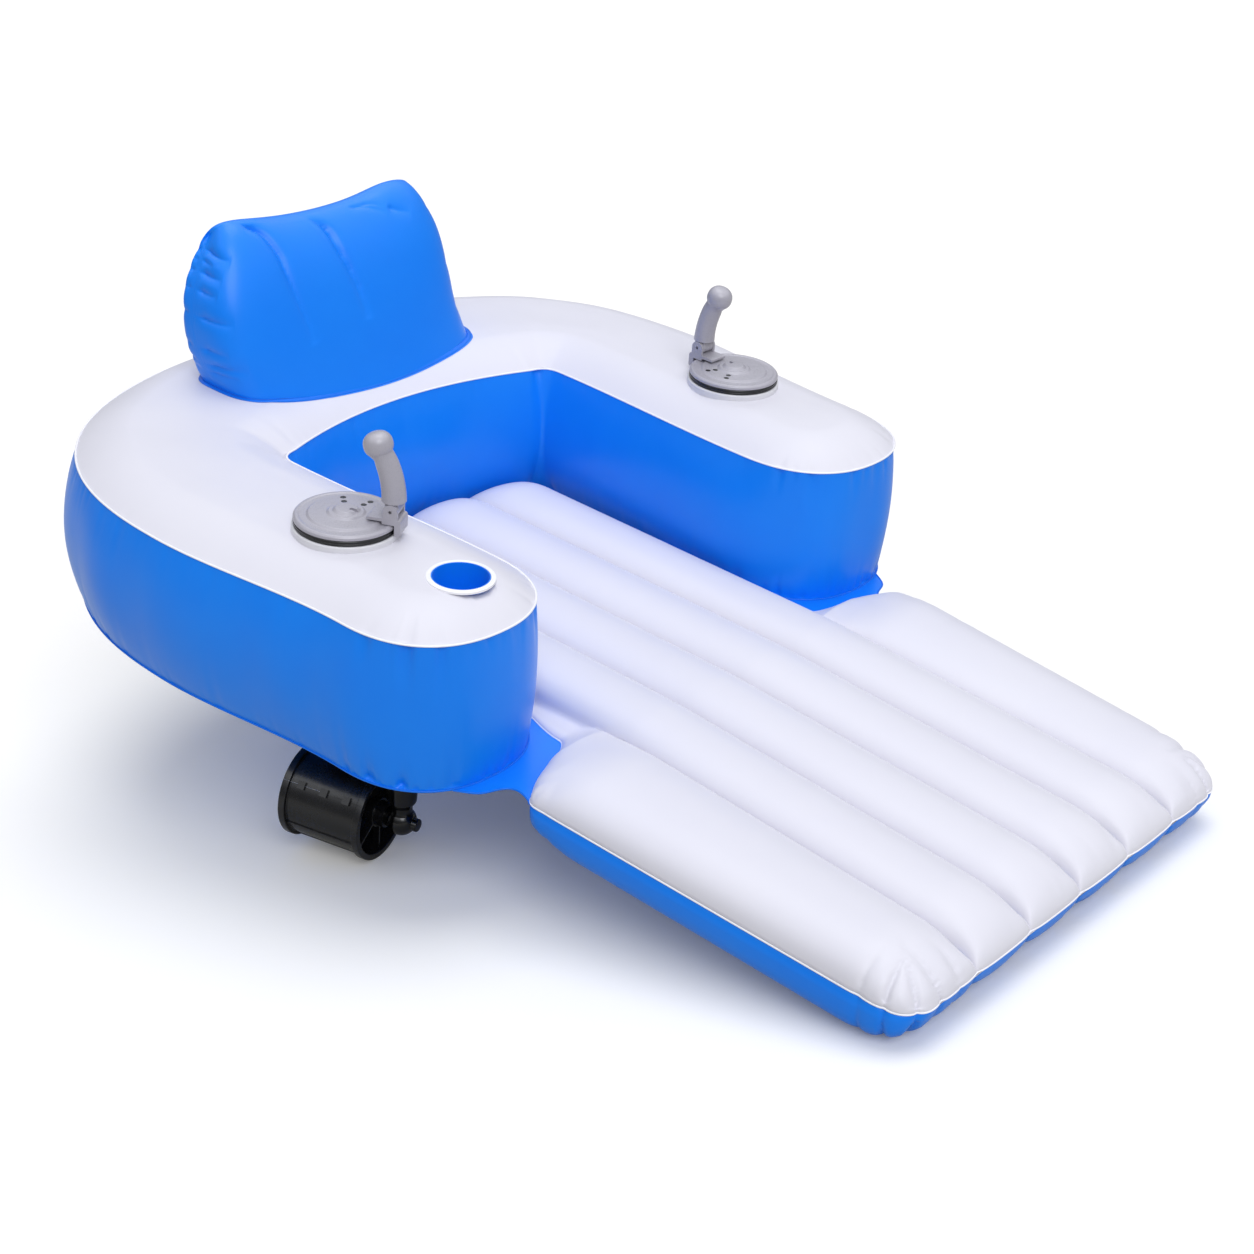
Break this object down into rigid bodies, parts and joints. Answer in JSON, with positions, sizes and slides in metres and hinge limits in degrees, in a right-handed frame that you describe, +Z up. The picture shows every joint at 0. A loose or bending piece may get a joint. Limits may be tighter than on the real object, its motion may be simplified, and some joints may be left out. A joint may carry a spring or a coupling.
{
  "type": "inflatable pool chair",
  "caption": "Inflatable pool chair with a horseshoe float, ribbed leg mattress, backrest, cup holder, and two hand-steered battery propeller drives under the arms.",
  "frame": {"origin": "midway between the two steering axes, on the plane of the float's lower seam, which is the water line of the unloaded chair", "axes": "+Z up, -Y towards the foot of the mattress (the way the sitter faces), +X towards the sitter's left; the cup holder is at -X"},
  "size_m": [1.232, 1.7092, 0.7768],
  "materials": {
    "white_vinyl": "satin",
    "blue_vinyl": "satin",
    "grey_plastic": "satin",
    "white_plastic": "satin",
    "black_plastic": "satin",
    "black_rubber": "matte",
    "battery_steel": "satin",
    "pin_steel": "satin",
    "valve_vinyl": "satin"
  },
  "bodies": {
    "float": {"float_top_panel": "white_vinyl", "float_walls": "blue_vinyl", "mattress_top_panel": "white_vinyl", "mattress_underside": "blue_vinyl", "gusset_right": "blue_vinyl", "gusset_left": "blue_vinyl", "backrest": "blue_vinyl", "backrest_weld": "blue_vinyl", "cup_pocket": "blue_vinyl", "cup_ring": "white_vinyl", "sleeve_right": "blue_vinyl", "sleeve_left": "blue_vinyl", "mount_flange_right": "white_plastic", "mount_flange_left": "white_plastic", "gasket_right": "black_rubber", "gasket_left": "black_rubber", "clamp_ring_right": "black_plastic", "clamp_ring_left": "black_plastic", "valve_float": "valve_vinyl", "valve_mattress": "valve_vinyl", "valve_backrest": "valve_vinyl"},
    "valve_cap_float": {"valve_cap_float": "blue_vinyl"},
    "valve_cap_mattress": {"valve_cap_mattress": "blue_vinyl"},
    "valve_cap_backrest": {"valve_cap_backrest": "blue_vinyl"},
    "drive_right": {"cover_right": "grey_plastic", "battery_tube_right": "black_plastic", "battery_pack_right": "battery_steel", "throttle_switch_right": "black_plastic", "drive_base_right": "black_plastic", "pylon_right": "black_plastic", "motor_pod_right": "black_plastic", "motor_right": "battery_steel", "shaft_seal_right": "black_rubber", "duct_right": "black_plastic", "duct_saddle_right": "black_plastic", "handle_bracket_right": "grey_plastic", "pivot_pin_right": "pin_steel"},
    "drive_left": {"cover_left": "grey_plastic", "battery_tube_left": "black_plastic", "battery_pack_left": "battery_steel", "throttle_switch_left": "black_plastic", "drive_base_left": "black_plastic", "pylon_left": "black_plastic", "motor_pod_left": "black_plastic", "motor_left": "battery_steel", "shaft_seal_left": "black_rubber", "duct_left": "black_plastic", "duct_saddle_left": "black_plastic", "handle_bracket_left": "grey_plastic", "pivot_pin_left": "pin_steel"},
    "handle_right": {"handle_right": "grey_plastic"},
    "handle_left": {"handle_left": "grey_plastic"},
    "propeller_right": {"propeller_right": "black_plastic"},
    "propeller_left": {"propeller_left": "black_plastic"}
  },
  "joints": [
    {"name": "steering_right", "type": "hinge", "parent": "float", "child": "drive_right", "pos_m": [-0.42, 0, 0], "axis": [0, 0, 1], "continuous": true},
    {"name": "steering_left", "type": "hinge", "parent": "float", "child": "drive_left", "pos_m": [0.42, 0, 0], "axis": [0, 0, 1], "continuous": true},
    {"name": "handle_tilt_right", "type": "hinge", "parent": "drive_right", "child": "handle_right", "pos_m": [-0.386, -0.05889, 0.30378], "axis": [0.866, 0.5, 0], "range_deg": [-12, 12], "stiffness_Nm_per_rad": 2},
    {"name": "handle_tilt_left", "type": "hinge", "parent": "drive_left", "child": "handle_left", "pos_m": [0.42, 0.068, 0.30378], "axis": [-1, 0, 0], "range_deg": [-12, 12], "stiffness_Nm_per_rad": 2},
    {"name": "propeller_spin_right", "type": "hinge", "parent": "drive_right", "child": "propeller_right", "pos_m": [-0.42, 0, -0.19], "axis": [0.2756, -0.9613, 0], "continuous": true},
    {"name": "propeller_spin_left", "type": "hinge", "parent": "drive_left", "child": "propeller_left", "pos_m": [0.42, 0, -0.19], "axis": [0.2419, 0.9703, 0], "continuous": true},
    {"name": "valve_cap_float_pull", "type": "slide", "parent": "float", "child": "valve_cap_float", "axis": [0, 1, 0], "range_m": [0, 0.02]},
    {"name": "valve_cap_mattress_pull", "type": "slide", "parent": "float", "child": "valve_cap_mattress", "axis": [0, 0, -1], "range_m": [0, 0.02]},
    {"name": "valve_cap_backrest_pull", "type": "slide", "parent": "float", "child": "valve_cap_backrest", "axis": [0, 1, 0], "range_m": [0, 0.02]}
  ]
}
